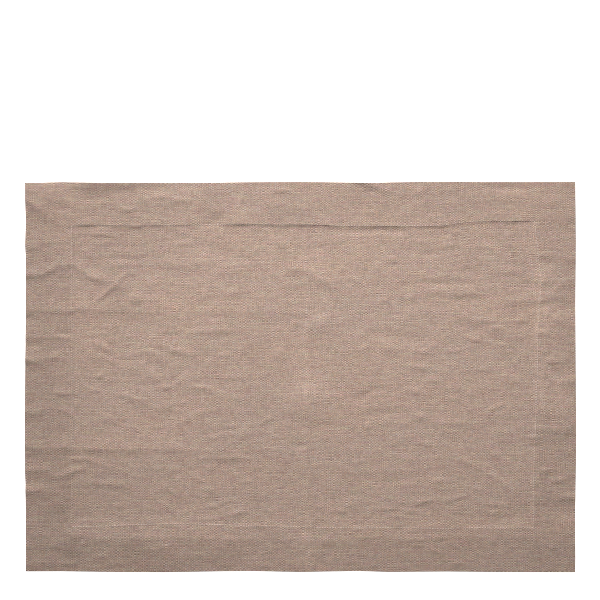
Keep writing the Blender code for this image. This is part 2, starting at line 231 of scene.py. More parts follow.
LOWER_LEFT_FOLDS = (
    (2.5, 5, (-90, -73, 0.1), (-73, -73.5, 0.4), (-60, -71.5, 0.35), (-47, -73, 0.15)),
    (4, 4, (-207, -74.5, 0.3), (-197, -74.5, 0.55), (-187, -76.5, 0.25), (-173, -81, 0.15),
     (-157, -88, 0.1), (-147, -92, 0.05)),
    (5, 4, (-225, -90.5, 0.15), (-215, -89, 0.35), (-202, -84.5, 0.35), (-192, -80.5, 0.1)),
    (8, 10, (-253, -104, 0.6), (-236, -103.5, 0.55), (-222, -106, 0.3), (-208, -110, 0.1)),
    (4, 4, (-200, -97, 0.1), (-184, -97, 0.25), (-164, -97.5, 0.28), (-156, -98, 0.05)),
    (8, 7, (-228, -112.5, 0.1), (-218, -114.5, 0.25), (-210, -115.5, 0.1)),
    (7, 8, (-249, -84, 0.25), (-239, -84, 0.45), (-229, -85, 0.1)),
    (4, 4, (-134, -108.5, 0.1), (-121, -118.5, 0.25), (-111, -128.5, 0.1)),
    (4, 4, (-109, -94.5, 0.05), (-100, -102.5, 0.18), (-90, -109.5, 0.1)),
    (5, 5, (-99, -88, 0.1), (-91, -93, 0.38), (-84, -98, 0.1)),
    (5, 5, (-90, -100, 0.1), (-83, -102.5, 0.3), (-79, -106, 0.1)),
    (3.5, 4, (-76, -127, 0.05), (-67, -125.5, 0.2), (-58, -123.5, 0.25), (-47, -122, 0.1)),
    (6, 6, (-251, -169, 0.2), (-235, -169, 0.28), (-220, -171, 0.1)),
    (5, 5, (-245, -141.5, 0.1), (-235, -142.5, 0.25), (-226, -146.5, 0.1)),
)
LOWER_RIGHT_FOLDS = (
    (9, 9, (172, -131, -0.1), (186, -129, -0.2), (200, -124, -0.3), (212, -121, -0.35),
     (230, -120, -0.35), (253, -119, -0.35)),
    (7, 5, (144, -74.5, 0.2), (158, -80.5, 0.28), (172, -89.5, 0.28), (184, -97.5, 0.32),
     (196, -104.5, 0.1)),
    (3, 4, (102, -115, 0.2), (108, -114, 0.32), (116, -112, 0.2), (125, -113, 0.1)),
    (5, 4, (84, -113, 0.05), (92, -113, 0.18), (98, -114, 0.05)),
    (5, 5, (56, -92, -0.05), (74, -96, -0.15), (90, -94.5, -0.2), (106, -91, -0.15), (116, -87, -0.05)),
    (5, 5, (42, -78, 0.05), (50, -78, 0.12), (58, -78, 0.05)),
    (5, 5, (150, -85, 0.05), (162, -86, 0.2), (172, -86, 0.05)),
    (4, 4, (170, -71.5, 0.1), (176, -71, 0.35), (182, -71.5, 0.1)),
    (5, 4, (227, -94, 0.1), (234, -94, 0.4), (241, -92, 0.2), (253, -90, 0.1)),
    (6, 6, (228, -109, 0.1), (242, -109, 0.35), (253, -109, 0.4)),
    (4, 5, (122, -112, 0.1), (132, -112, 0.25), (141, -110.5, 0.4), (151, -110, 0.1)),
    (4, 5, (138, -127, -0.05), (148, -128, -0.22), (157, -129, -0.05)),
)
HEM_FOLDS = (
    (5, 5, (-208, 104, 0.25), (-208, 140, 0.25), (-208, 172, 0.15)),
    (8, 2.2, (-204, 138, 0.05), (-196, 138.2, 0.3), (-185, 138.3, 0.2), (-172, 137.8, 0.25),
     (-158, 137, 0.12), (-148, 137, 0.38), (-140, 137.5, 0.05), (-130, 138, 0.22), (-119, 137.2, 0.2),
     (-108, 137.6, 0.12), (-95, 139, 0.2), (-80, 139.3, 0.08)),
    (8, 1.8, (-70, 139.2, 0.15), (-60, 139, 0.22), (-40, 139, 0.22), (-24, 137.4, 0.25),
     (-8, 138, 0.32), (8, 138, 0.34), (22, 138.4, 0.3), (35, 137.5, 0.08)),
    (8, 1.7, (45, 136.9, 0.1), (55, 137.1, 0.15), (69, 137.2, 0.17), (84, 137.4, 0.2), (99, 136.5, 0.2),
     (115, 136.8, 0.18), (129, 137.4, 0.2), (142, 138.4, 0.18), (156, 139.8, 0.15), (172, 141.2, 0.18),
     (190, 141.6, 0.2), (207, 141.8, 0.15)),
    (8, 20, (-205, -145, 0.2), (-180, -146, 0.35), (-100, -146, 0.4), (-20, -147, 0.3),
     (20, -148, 0.25), (60, -146, 0.3), (110, -147, 0.35), (160, -145, 0.3), (215, -144, 0.2)),
    (8, 8, (-225, -149, 0.1), (-213, -151, 0.22), (-201, -152, 0.1)),
    (5, 5, (-190, -163, 0.1), (-181, -162.5, 0.28), (-173, -162, 0.05)),
    (6, 8, (-160, -158, 0.05), (-148, -158, 0.17), (-136, -159, 0.05)),
    (4, 4, (-133, -154, 0.1), (-123, -154.5, 0.42), (-113, -156.5, 0.1)),
    (4, 4, (-100, -160.5, 0.1), (-91, -162, 0.3), (-82, -165, 0.1)),
    (4, 4, (-79, -154.5, 0.04), (-71, -154.5, 0.11), (-64, -154.5, 0.04)),
    (3, 3, (-76, -170, 0.1), (-69, -170.3, 0.3), (-62, -170, 0.1)),
    (5, 4, (95, -152.5, 0.2), (106, -153, 0.5), (116, -155, 0.2), (124, -158.5, 0.42),
     (133, -162, 0.1)),
    (4, 4, (76, -142.5, 0.05), (86, -142.5, 0.15), (98, -143.5, 0.05)),
    (4, 4, (141, -149, 0.1), (149, -149.5, 0.28), (160, -149.5, 0.22), (167, -150, 0.05)),
)
FOLD_ROWS = (
    PACKING_FOLDS + UPPER_LEFT_FOLDS + UPPER_RIGHT_FOLDS + MIDDLE_LEFT_FOLDS
    + MIDDLE_RIGHT_FOLDS + LOWER_LEFT_FOLDS + LOWER_RIGHT_FOLDS + HEM_FOLDS
)

# Small straight creases along the mat that reach 3 mm to each side: middle x and y, length and rise.
LEVEL_REACH = 3
LEVEL_CREASES = (
    (-105, 120.3, 16, 0.25), (-84, 134.7, 30, 0.25), (134, 68.8, 14, 0.3), (166, 126.9, 11, -0.25),
    (206, 84.2, 9, -0.25), (118, 145.2, 22, 0.25), (134, 125.2, 12, 0.25), (-178, 122.1, 20, 0.3),
    (154, 97.8, 19, -0.2), (-75, 151.5, 12, 0.2), (-40, 135.4, 9, 0.35), (-74, 128.7, 14, 0.2),
    (93, 166.8, 15, 0.3), (95, 166.5, 11, -0.3), (72, 129.8, 15, 0.35), (14, 145.2, 17, 0.3),
    (65, 168.3, 11, -0.3), (-154, 148.8, 15, -0.3), (-126, 160.6, 12, -0.3), (97, 85.3, 16, -0.3),
    (-178, 133.6, 16, 0.35), (-141, 28.8, 9, 0.3), (-172, 32, 14, 0.35), (-114, 18.7, 11, -0.25),
    (-115, 36.9, 13, -0.35), (175, 46.9, 24, -0.3), (163, 38, 18, 0.3), (-78, 48.8, 14, 0.3),
    (-115, 26.6, 16, -0.3), (134, -18.2, 13, -0.25), (-4, 48.8, 11, 0.3), (-225, -20, 11, 0.25),
    (-187, -12.4, 12, 0.25), (-143, -55.5, 13, 0.2), (-91, -32.5, 13, 0.3), (-62, -45, 18, 0.25),
    (77, -23, 10, 0.2), (62, -44.8, 9, 0.3), (212, -55.1, 11, 0.5), (121, -135.7, 30, 0.3),
    (202, -135.7, 18, 0.3), (8, -138.5, 14, -0.25), (176, -123, 12, 0.3), (106, -143.9, 17, 0.3),
    (137, -155.8, 12, -0.25), (-223, -158.5, 14, -0.25), (90, -138, 14, -0.35), (145, -112, 20, -0.3),
    (-137, -134.8, 24, -0.35), (130, -148.3, 15, -0.3), (-165, -117.5, 11, 0.3), (-182, -155, 11, 0.3),
    (-70, -86, 12, 0.2), (-75, -160.5, 13, 0.3), (-35, -171.5, 26, 0.25), (-6, -159, 11, 0.3),
    (37, -121.5, 7, 0.45), (17, -118, 11, 0.25), (101, -139.7, 17, 0.35), (126, -93.7, 13, 0.35),
    (85, -154.5, 8, 0.35), (53, -138.8, 9, 0.3), (214, -135.8, 13, -0.2), (222, -85, 11, 0.35),
    (168, -155, 13, 0.25), (146, -94.9, 14, -0.2),
)

# The other small creases: middle x and y, length, lean from the long side in degrees, rise and reach.
OTHER_CREASES = (
    (-192, 161.5, 24, -4, -0.3, 4), (-166, 169, 27, 0, -0.45, 4), (-142, 171.5, 34, 0, -0.3, 5),
    (-155, 106.5, 30, -3, -0.2, 2.5), (-190, 110.5, 14, -8, 0.2, 3), (-54, 160, 13, 90, 0.3, 3),
    (108, 168.3, 18, 3, 0.35, 4.5), (108, 156.5, 10, -5, 0.15, 3), (65, 148.5, 13, -4, 0.2, 3.5),
    (116, 111.7, 18, 2, -0.3, 3), (12, 123.5, 12, -4, 0.2, 3.5), (83, 106.4, 12, -2, 0.25, 3.5),
    (109, 123.3, 12, -3, 0.2, 3.5), (193, 171, 46, -1, -0.3, 5), (139, 131.8, 16, -8, 0.2, 3),
    (221, 103.7, 22, -3, -0.4, 5), (221, 110.8, 22, -4, 0.3, 2.2), (230, 159.7, 15, 0, 0.25, 5),
    (205, 147.5, 13, -4, 0.2, 3), (76, 70, 11, 0, 0.25, 3.5), (57, 76.3, 14, -3, 0.2, 4),
    (131, 84.8, 56, -1, -0.25, 3), (145, 70.2, 32, 0, -0.3, 4), (109, 16, 11, 0, 0.3, 2.5),
    (-62, -68.4, 26, 0, 0.3, 2.5), (-246, 52.6, 14, -3, -0.4, 5), (-243, 29.5, 18, -3, -0.35, 4),
    (-214, 38.7, 17, -2, -0.42, 3), (-225, 18, 9, 0, 0.35, 4), (-184, 1, 11, 0, 0.4, 3.5),
    (-72, 19.5, 10, -5, 0.25, 3), (112, 22.3, 20, -8, 0.4, 3.5), (200, 51, 13, 0, 0.35, 3.5),
    (187, 51.5, 12, 0, 0.2, 3.5), (185, 28.5, 14, -2, 0.3, 2), (196, 14, 13, 50, 0.25, 3.5),
    (134, 36.6, 15, -2, 0.2, 3), (139, 23.5, 13, -4, 0.3, 3.5), (-243, 8.2, 8, -4, 0.35, 3),
    (-216, -14.7, 20, 3, 0.3, 3.5), (-152, -46, 15, -35, 0.25, 3), (-122, -9.5, 14, 0, 0.35, 4),
    (-110, 1.5, 19, 38, -0.3, 3), (-66, -0.2, 26, -3, 0.25, 3.5), (-106, -23.3, 13, 9, 0.2, 3),
    (-31, -39, 24, 28, 0.25, 3), (1, -63, 12, -5, -0.4, 2.5), (-10, -44.5, 24, -15, 0.2, 4),
    (120, -2.8, 13, -4, 0.35, 4), (95, -42.2, 11, -3, 0.3, 3), (112, -60.3, 33, -12, 0.3, 3),
    (88, -59.5, 24, 11, 0.2, 3), (94, -73, 20, -9, 0.25, 3), (143, -11, 11, -3, 0.35, 3.5),
    (135, -19.3, 17, 2, 0.35, 3), (154, -15.5, 15, -4, 0.25, 3), (143, -41.5, 48, 1, 0.3, 3.5),
    (135, -49.6, 17, -2, 0.2, 3), (177, -28, 20, 20, 0.3, 3), (198, -26.6, 10, -3, 0.25, 3),
    (210, -59.6, 12, -2, 0.3, 2.5), (213, -62.1, 14, -3, -0.3, 2.5), (-213, -97.5, 20, 0, 0.25, 2.5),
    (-188, -131.2, 28, -1, 0.3, 3), (-197, -151.6, 11, -2, 0.45, 3), (-211, -169.6, 20, 0, 0.35, 3.5),
    (-118, -83.6, 16, -2, 0.3, 3), (-119, -87, 11, 90, 0.25, 3), (-82, -82.4, 13, -3, 0.4, 3),
    (-48, -95.5, 13, 0, 0.2, 2.5), (-118, -103, 16, -30, 0.25, 3), (-80, -117.5, 12, 5, 0.35, 2.2),
    (-68, -113, 16, 2, 0.25, 3), (-82, -129, 42, -1, 0.25, 3), (80, -119.7, 30, -3, 0.25, 3),
    (90, -126.2, 22, -4, 0.2, 3), (100, -121.6, 10, -3, 0.3, 3), (46, -86.5, 17, -27, 0.2, 4),
    (43, -116.5, 20, 7, 0.1, 3), (142, -169.7, 14, 0, 0.45, 3.5), (178, -115.9, 26, -1, 0.3, 3),
    (227, -154.7, 12, -3, 0.3, 3),
)
CREASE_ENDS = 0.25      # rise at a small crease's ends, to the rise in its middle

# Rounded rises where folds cross and where the hem stands off the table: middle x and y, rise, and
# reach along the mat and across it.
SWELLS = (
    (-150, 71.5, 0.75, 10, 9), (17, 48, 0.65, 16, 14), (7, -25, 0.7, 34, 24), (100, 72, 0.3, 8, 6),
    (-18, 21, 0.5, 12, 11), (-54, 24.5, 0.27, 9, 9), (58.5, 26, 0.37, 9, 7), (7, -145.5, 0.28, 12, 11),
    (-205, -144, 0.5, 8, 8), (-104, -139, 0.43, 13, 8),
)

# Patches where the colour is deeper or paler: painted shade and painted light for broad slopes and for the
# fall of the light, with some uneven tone. Middle x and y, change, and reach along the mat and across it.
SHADE_AND_TONE_PATCHES = (
    (-255, 10, -0.13, 150, 500), (-235, 125, -0.08, 65, 75), (-225, -168, -0.1, 100, 40),
    (-175, -105, -0.08, 120, 55), (-240, -20, -0.04, 40, 160), (-243, 157, -0.06, 42, 30),
    (-180, 173, -0.11, 60, 15), (-184, 173, -0.13, 24, 12), (240, -165, -0.05, 50, 45),
    (-158, 130, -0.11, 85, 68), (-81, 154, -0.12, 18, 20), (-230, 174, 0.13, 20, 13),
    (-126, -172, -0.16, 68, 24), (-209, -161, -0.12, 17, 15), (5, -153, 0.13, 26, 18),
    (8, -5, 0.12, 21, 21), (-168, 77, -0.09, 32, 24), (230, -15, 0.16, 23, 38),
    (241, -132, 0.16, 20, 15), (246, 55, 0.11, 17, 15), (-67, -7, 0.1, 24, 12), (11, 110, 0.1, 18, 14),
    (175, 64, 0.1, 22, 13), (223, 62, 0.11, 20, 78), (-70, -164, -0.11, 28, 14),
    (-144, 173, -0.08, 50, 12), (-12, 146, -0.1, 40, 14), (-148, 56, -0.09, 42, 16),
    (143, -136, -0.08, 34, 11), (220, -14, 0.05, 11, 30), (-215, 117, 0.09, 14, 12),
    (19, 60, 0.1, 24, 9), (-69, -72, -0.09, 20, 9), (200, 160, 0.07, 30, 20),
    (-152, -155, -0.09, 32, 18), (-224, -173, -0.08, 14, 8), (-226, -126, -0.08, 22, 13),
    (186, -102, 0.09, 16, 10), (185, -2, 0.08, 26, 11), (244, -20, 0.07, 12, 20),
    (245, -46, -0.1, 14, 9), (110, 0, 0.07, 220, 200), (30, 90, 0.02, 130, 90), (7, 0, 0.04, 60, 45),
)
HEM_SHADE_AND_TONE = -0.06        # deeper colour in the hem: painted shade of its slopes, with the deeper look of doubled cloth

# Noises in the lie of the cloth: strength, reach along the mat and across it in millimetres, and layer.
Ripple = namedtuple("Ripple", "strength along across layer")
RUMPLE = (Ripple(0.15, 26.0, 12.0, 0.3), Ripple(0.09, 9.0, 5.5, 4.7), Ripple(0.06, 5.0, 3.4, 8.2))
RIDGES = Ripple(0.09, 34.0, 17.0, 9.1)
WANDER_ALONG = Ripple(1.6, 14.0, 10.0, 21.0)
WANDER_ACROSS = Ripple(1.2, 11.0, 8.0, 33.0)
UNEVENNESS = Ripple(0.5, 13.0, 9.0, 41.0)

# Noises in the colour of the cloth: patches in a metre along the mat and up it, and layer. Where a
# noise has its own value for each strand, the count across the strands is 1.
Grain = namedtuple("Grain", "along up layer")
WARP_DRIFT = Grain(125.0, 25.0, 0.0)
WEFT_DRIFT = Grain(25.0, 125.0, 3.0)
WARP_SHADE = Grain(1.0, 110.0, 1.0)
WEFT_SHADE = Grain(50.0, 1.0, 5.0)
REED_SHADE = Grain(60.0, 230.0, 29.0)
RIB_SHADE = Grain(50.0, 165.0, 19.0)
STRAND_HUE = Grain(1.0, 330.0, 11.0)
PATCH_HUE = Grain(12.0, 25.0, 17.0)
MOSS_HUE = Grain(90.0, 1.0, 23.0)

STRANDS = 2.0           # strands in a thread of the cloth
STRAND_STEP = 3.7       # how far apart neighbouring strands lie in a noise
WEFT_WANDER = 0.45      # how much the wefts wander, to the warps
REED_BASE = 0.1         # share of the reed's marks that shows all over
LINEN_ROUGHNESS = 0.95  # in the gaps, and how much less on the crowns
LINEN_SHINE = 0.12
LINEN_RELIEF = (0.15, 0.0002)           # strength, and depth in metres
LINEN_FINISH = {"Specular IOR Level": 0.25, "Sheen Weight": 0.1, "Sheen Roughness": 0.6}

THREAD_TURNS = 5.0      # turns of the sewing thread's twist in a stitch
THREAD_LIGHT = 0.85     # share of the thread's own colour, and how the painted light and shade of its twist and the painted shade at its ends change that
TWIST_PAINTED_LIGHT = 0.10
ENDS_PAINTED_SHADE = -0.45
ENDS_POWER = 3.0        # the higher, the nearer to a stitch's ends the painted shade begins
THREAD_DEPTH = 0.25     # deepest painted shade of the thread, to its colour
THREAD_ROUGHNESS = 0.75
TWIST_ROUGHNESS = 0.05
TWIST_RELIEF = (0.4, 0.00008)           # strength, and depth in metres

WHITE = (1.0, 1.0, 1.0, 1.0)


def length_setting(name, description, default, least=0.0, most=100.0):
    """A length in metres that a user can change."""
    return FloatProperty(
        name=name, description=description, default=default, min=least, max=most, precision=5, unit="LENGTH"
    )


def number_setting(name, description, default):
    """A plain number that a user can change."""
    return FloatProperty(name=name, description=description, default=default, min=0.0, precision=3)


def colour_setting(name, description, red, green, blue):
    """A colour that a user can change."""
    return FloatVectorProperty(
        name=name, description=description, subtype="COLOR", size=4, min=0.0, max=1.0,
        default=(red, green, blue, 1.0),
    )


class ClothSettings(bpy.types.PropertyGroup):
    """Sizes and colours of the woven cloth."""

    thickness: length_setting("Cloth thickness", "Thickness of one layer of the cloth", 0.0007, 0.0002, 0.001)
    face_pitch: length_setting("Face line spacing", "Spacing of the face's mesh lines", 0.00165, 0.0016, 0.02)
    back_pitch: length_setting("Back line spacing", "Spacing of the back's mesh lines", 0.005, 0.0016, 0.02)
    wander: length_setting("Thread wander", "How far the threads stray from even spacing", 0.0020)
    warp_pitch: length_setting("Warp spacing", "Distance between the threads up the short side", 0.0016)
    weft_pitch: length_setting("Weft spacing", "Distance between the threads along the long side", 0.00111)
    reed_pitch: length_setting("Reed mark spacing", "Distance between the fine lines of the reed", 0.0020)
    # The gaps' lightness is kept low as painted shade, and the crowns' extra lightness is a painted
    # highlight.
    lightness: number_setting("Lightness", "Share of pale fibre in the gaps between threads", 0.285)
    crown_highlight: number_setting("Crown lightness", "How much more pale fibre the crowns have", 0.12)
    # Warp and weft crowns differ as painted light and shade, for the light falling on them differently.
    check_shading: number_setting("Check contrast", "Difference of warp and weft crowns", 0.08)
    check_stripes: number_setting("Check stripes", "How much that varies from warp to warp", 0.25)
    fibre_contrast: number_setting("Fibre contrast", "Difference between single crossings", 0.068)
    warp_contrast: number_setting("Warp contrast", "Difference between warp strands", 0.042)
    weft_contrast: number_setting("Weft contrast", "Difference between weft strands", 0.062)
    reed_contrast: number_setting("Reed marks", "Strength of the fine lines of the reed", 0.115)
    rib_contrast: number_setting("Rib contrast", "Difference between neighbouring wefts", 0.08)
    strand_hue: number_setting("Strand hue", "Difference in hue along the warp strands", 0.11)
    patch_hue: number_setting("Patch hue", "Difference in hue between broad patches", 0.03)
    fibre_hue: number_setting("Fibre hue", "Difference in hue between single crossings", 0.05)
    moss_hue: number_setting("Moss hue", "Difference in greenness along the weft strands", 0.18)
    # The pale end is whitened as a painted sheen; the deep end is deep fibre and the painted shade of the
    # gaps.
    pale_and_sheen_colour: colour_setting("Pale fibre", "Colour of the palest crowns", 0.945, 0.716, 0.598)
    deep_and_shade_colour: colour_setting("Deep fibre", "Colour of the deepest gaps and threads", 0.134, 0.073, 0.046)


class SewingSettings(bpy.types.PropertyGroup):
    """Sizes and colour of the topstitching."""

    stitch_pitch: length_setting("Stitch spacing", "Distance from one needle hole to the next", 0.0024)
    thread_radius: length_setting("Thread radius", "Radius of the sewing thread", 0.0003)
    thread_colour: colour_setting("Thread colour", "Colour of the sewing thread", 0.68, 0.55, 0.475)


class StageSettings(bpy.types.PropertyGroup):
    """Floor, lights and camera."""

    floor_size: length_setting("Floor size", "Side of the square floor", 60.0)
    floor_colour: colour_setting("Floor colour", "Colour of the floor", 0.95, 0.95, 0.95)
    key_power: number_setting("Main light", "Power of the large soft light, in watts", 76.0)
    key_height: FloatProperty(
        name="Main light angle", description="Angle of the main light over the table",
        default=radians(25.0), subtype="ANGLE",
    )
    sky: number_setting("Sky", "Strength of the even light from all round", 0.235)
    lens: number_setting("Lens", "Focal length of the camera, in millimetres", 100.0)


def along(table, at):
    """Second column of a table at places in its first, straight between the rows."""
    places, values = zip(*table)
    return np.interp(at, places, values)


def lines(marks, pitch):
    """Places of the mesh's lines: every mark, with even steps of at most one pitch between."""
    places = [marks[0]]
    for low, high in zip(marks, marks[1:]):
        steps = max(1, int(np.ceil((high - low) / pitch - ROUNDING)))
        places.extend(np.linspace(low, high, steps + 1)[1:])
    return places


def bell(distance):
    """Smooth hump: 1 in the middle, 0 from a distance of 1 outwards."""
    return 0.5 + 0.5 * np.cos(pi * np.minimum(distance, 1.0))


def crest(distance):
    """Creased hump with a sharp crest and a soft foot."""
    sharp = (1.0 - np.minimum(distance, 1.0)) ** 3
    return (1.0 - CREST_SHARE) * bell(distance) + CREST_SHARE * sharp


def patches(rows, x, y):
    """Sum of the rounded patches of a table at points."""
    return sum(
        strength * bell(np.hypot((x - middle_x) / reach_x, (y - middle_y) / reach_y))
        for middle_x, middle_y, strength, reach_x, reach_y in rows
    )


def small_fold(x, y, length, lean, rise, reach):
    """The fold of a small crease: straight, and strongest in its middle."""
    half_x = length / 2 * cos(radians(lean))
    half_y = length / 2 * sin(radians(lean))
    return Fold(reach, reach, (
        (x - half_x, y - half_y, CREASE_ENDS * rise),
        (x, y, rise),
        (x + half_x, y + half_y, CREASE_ENDS * rise),
    ))


def all_folds():
    """Every fold and small crease of the tables."""
    folds = [Fold(above, below, knots) for above, below, *knots in FOLD_ROWS]
    folds += [small_fold(x, y, length, 0, rise, LEVEL_REACH) for x, y, length, rise in LEVEL_CREASES]
    return folds + [small_fold(*row) for row in OTHER_CREASES]


def fold_rise(fold, x, y):
    """Rise that a fold gives at points: of its nearest stretch, faded to both sides and past the ends."""
    rise = np.zeros(len(x))
    nearest = np.ones(len(x))
    for (x1, y1, rise1), (x2, y2, rise2) in zip(fold.knots, fold.knots[1:]):
        length = np.hypot(x2 - x1, y2 - y1)
        forward = ((x - x1) * (x2 - x1) + (y - y1) * (y2 - y1)) / length
        aside = ((y - y1) * (x2 - x1) - (x - x1) * (y2 - y1)) / length
        share = np.clip(forward / length, 0.0, 1.0)
        past = (forward - share * length) * 2.0 / (fold.above + fold.below)
        away = np.hypot(aside / (FOOT * np.where(aside > 0.0, fold.above, fold.below)), past)
        closer = away < nearest
        rise[closer] = (SHARPNESS * (rise1 + share * (rise2 - rise1)) * crest(away))[closer]
        nearest[closer] = away[closer]
    return rise


def ripple(row, x, y):
    """Noise about zero at points, by its row of the table but before its strength."""
    spots = zip(x / row.along, y / row.across)
    return np.array([noise.noise(Vector((px, py, row.layer))) for px, py in spots])


def rumple(x, y):
    """Fine rumple of washed linen, longer along the mat than across it, with some sharper ridges."""
    ridges = (1.0 - 2.0 * np.abs(ripple(RIDGES, x, y))) ** 3
    return sum(row.strength * ripple(row, x, y) for row in RUMPLE) + RIDGES.strength * ridges


def relief(x, y):
    """Rise of all folds, creases and swells at points. Where folds meet, the strongest counts."""
    high = np.zeros(len(x))
    low = np.zeros(len(x))
    fold_x = x + WANDER_ALONG.strength * ripple(WANDER_ALONG, x, y)
    fold_y = y + WANDER_ACROSS.strength * ripple(WANDER_ACROSS, x, y)
    for fold in all_folds():
        reach = FOOT * max(fold.above, fold.below) + WANDER
        xs, ys, rises = zip(*fold.knots)
        near = np.flatnonzero(
            (x > min(xs) - reach) & (x < max(xs) + reach) & (y > min(ys) - reach) & (y < max(ys) + reach)
        )
        rise = fold_rise(fold, fold_x[near], fold_y[near])
        high[near] = np.maximum(high[near], rise)
        low[near] = np.minimum(low[near], rise)
    uneven = 1.0 + UNEVENNESS.strength * ripple(UNEVENNESS, x, y)
    return (high + low) * uneven + patches(SWELLS, x, y) + rumple(x, y)


def between(at, marks, strays):
    """Stray at places, straight between marked lines whose own stray differs from point to point."""
    marks = np.array(marks)
    strays = np.array(strays)
    span = np.clip(np.searchsorted(marks, at) - 1, 0, len(marks) - 2)
    share = np.clip((at - marks[span]) / (marks[span + 1] - marks[span]), 0.0, 1.0)
    point = np.arange(len(at))
    return strays[span, point] * (1.0 - share) + strays[span + 1, point] * share


def place(u, v):
    """Points of the cloth for points of the straight mat: edges and stitch rows stray as sewn."""
    x_marks = (-LENGTH / 2, ROW_LEFT, ROW_RIGHT, LENGTH / 2)
    y_marks = (-WIDTH / 2, ROW_BOTTOM, ROW_TOP, WIDTH / 2)
    x_stray = (-along(EDGE_LEFT, v), -along(STITCH_LEFT, v), along(STITCH_RIGHT, v), along(EDGE_RIGHT, v))
    y_stray = (-along(EDGE_BOTTOM, u), -along(STITCH_BOTTOM, u), along(STITCH_TOP, u), along(EDGE_TOP, u))
    return u + between(u, x_marks, x_stray), v + between(v, y_marks, y_stray)


def inward_of_stitches(u, v):
    """Distance of points inward from the nearest row of stitches, less than zero in the hem."""
    return np.minimum(np.minimum(u - ROW_LEFT, ROW_RIGHT - u), np.minimum(v - ROW_BOTTOM, ROW_TOP - v))


def face_height(u, v, x, y):
    """Height of the cloth's face over the table."""
    inward = inward_of_stitches(u, v)
    least = np.where(inward < HEM_TURN, LEAST_HEM_FACE, LEAST_FIELD_FACE)
    return np.maximum(along(HEM_SECTION, inward) + relief(x, y), least)


def painted_shade_and_tone(u, v, x, y):
    """Factor by which the colour is deeper or paler at points: painted shade and light, with some uneven
    tone.
    """
    hem = np.interp(inward_of_stitches(u, v), (-HEM_TURN, HEM_TURN), (HEM_SHADE_AND_TONE, 0.0))
    return 1.0 + hem + patches(SHADE_AND_TONE_PATCHES, x, y)


class Graph:
    """Short ways to add and link the nodes of one material."""

    def __init__(self, name):
        self.material = bpy.data.materials.new(name)
        self.material.use_nodes = True
        self.tree = self.material.node_tree
        self.shader = self.tree.nodes["Principled BSDF"]

    def fill(self, node, values):
        """Sets or links a node's inputs, which go by name or number."""
        for key, value in values.items():
            if isinstance(value, bpy.types.NodeSocket):
                self.tree.links.new(value, node.inputs[key])
            else:
                node.inputs[key].default_value = value

    def node(self, kind, values, **settings):
        """Adds a node and gives its outputs."""
        node = self.tree.nodes.new("ShaderNode" + kind)
        for name, setting in settings.items():
            setattr(node, name, setting)
        self.fill(node, values)
        return node.outputs

    def math(self, operation, *values):
        return self.node("Math", dict(enumerate(values)), operation=operation)["Value"]

    def times(self, first, second):
        return self.math("MULTIPLY", first, second)

    def sum(self, first, second):
        return self.math("ADD", first, second)

    def linear(self, value, slope, base):
        """The value times the slope, plus the base."""
        return self.math("MULTIPLY_ADD", value, slope, base)

    def spread(self, value, amount, base=0.0):
        """A value from 0 to 1, turned to base plus or minus the amount."""
        return self.linear(self.math("SUBTRACT", value, 0.5), 2.0 * amount, base)

    def grain(self, row, x, y, detail=0.0):
        """Soft noise from 0 to 1, by its row of the table."""
        spot = {"X": self.times(x, row.along), "Y": self.times(y, row.up), "Z": row.layer}
        spot = self.node("CombineXYZ", spot)["Vector"]
        return self.node("TexNoise", {"Vector": spot, "Scale": 1.0, "Detail": detail})["Fac"]

    def dice(self, x, y):
        """A value from 0 to 1 that differs from each pair of numbers to the next."""
        spot = self.node("CombineXYZ", {"X": x, "Y": y})["Vector"]
        return self.node("TexWhiteNoise", {"Vector": spot}, noise_dimensions="2D")["Value"]

    def own_map(self, name):
        """Both coordinates of a map of the mesh."""
        spot = self.node("UVMap", {}, uv_map=name)["UV"]
        split = self.node("SeparateXYZ", {"Vector": spot})
        return split["X"], split["Y"]

    def mix(self, factor, first, second, blend="MIX"):
        values = {"Fac": factor, "Color1": first, "Color2": second}
        return self.node("MixRGB", values, blend_type=blend)["Color"]

    def finish(self, **values):
        """Sets or links the shader's own inputs, whose spaces are written as _."""
        self.fill(self.shader, {name.replace("_", " "): value for name, value in values.items()})

    def bump(self, height, relief):
        """Gives the shader a relief of its strength and its depth in metres."""
        strength, distance = relief
        bump = self.node("Bump", {"Strength": strength, "Distance": distance, "Height": height})
        self.finish(Normal=bump["Normal"])


def cloth_thread(g, place, drift, pitch):
    """Number of the thread at a place, its section, 1 in its middle and 0 at its edges, and its strand."""
    count = g.math("DIVIDE", g.sum(place, drift), pitch)
    section = g.math("COSINE", g.times(g.math("SUBTRACT", g.math("FRACT", count), 0.5), pi))
    strand = g.times(g.math("FLOOR", g.times(count, STRANDS)), STRAND_STEP)
    return g.math("FLOOR", count), section, strand


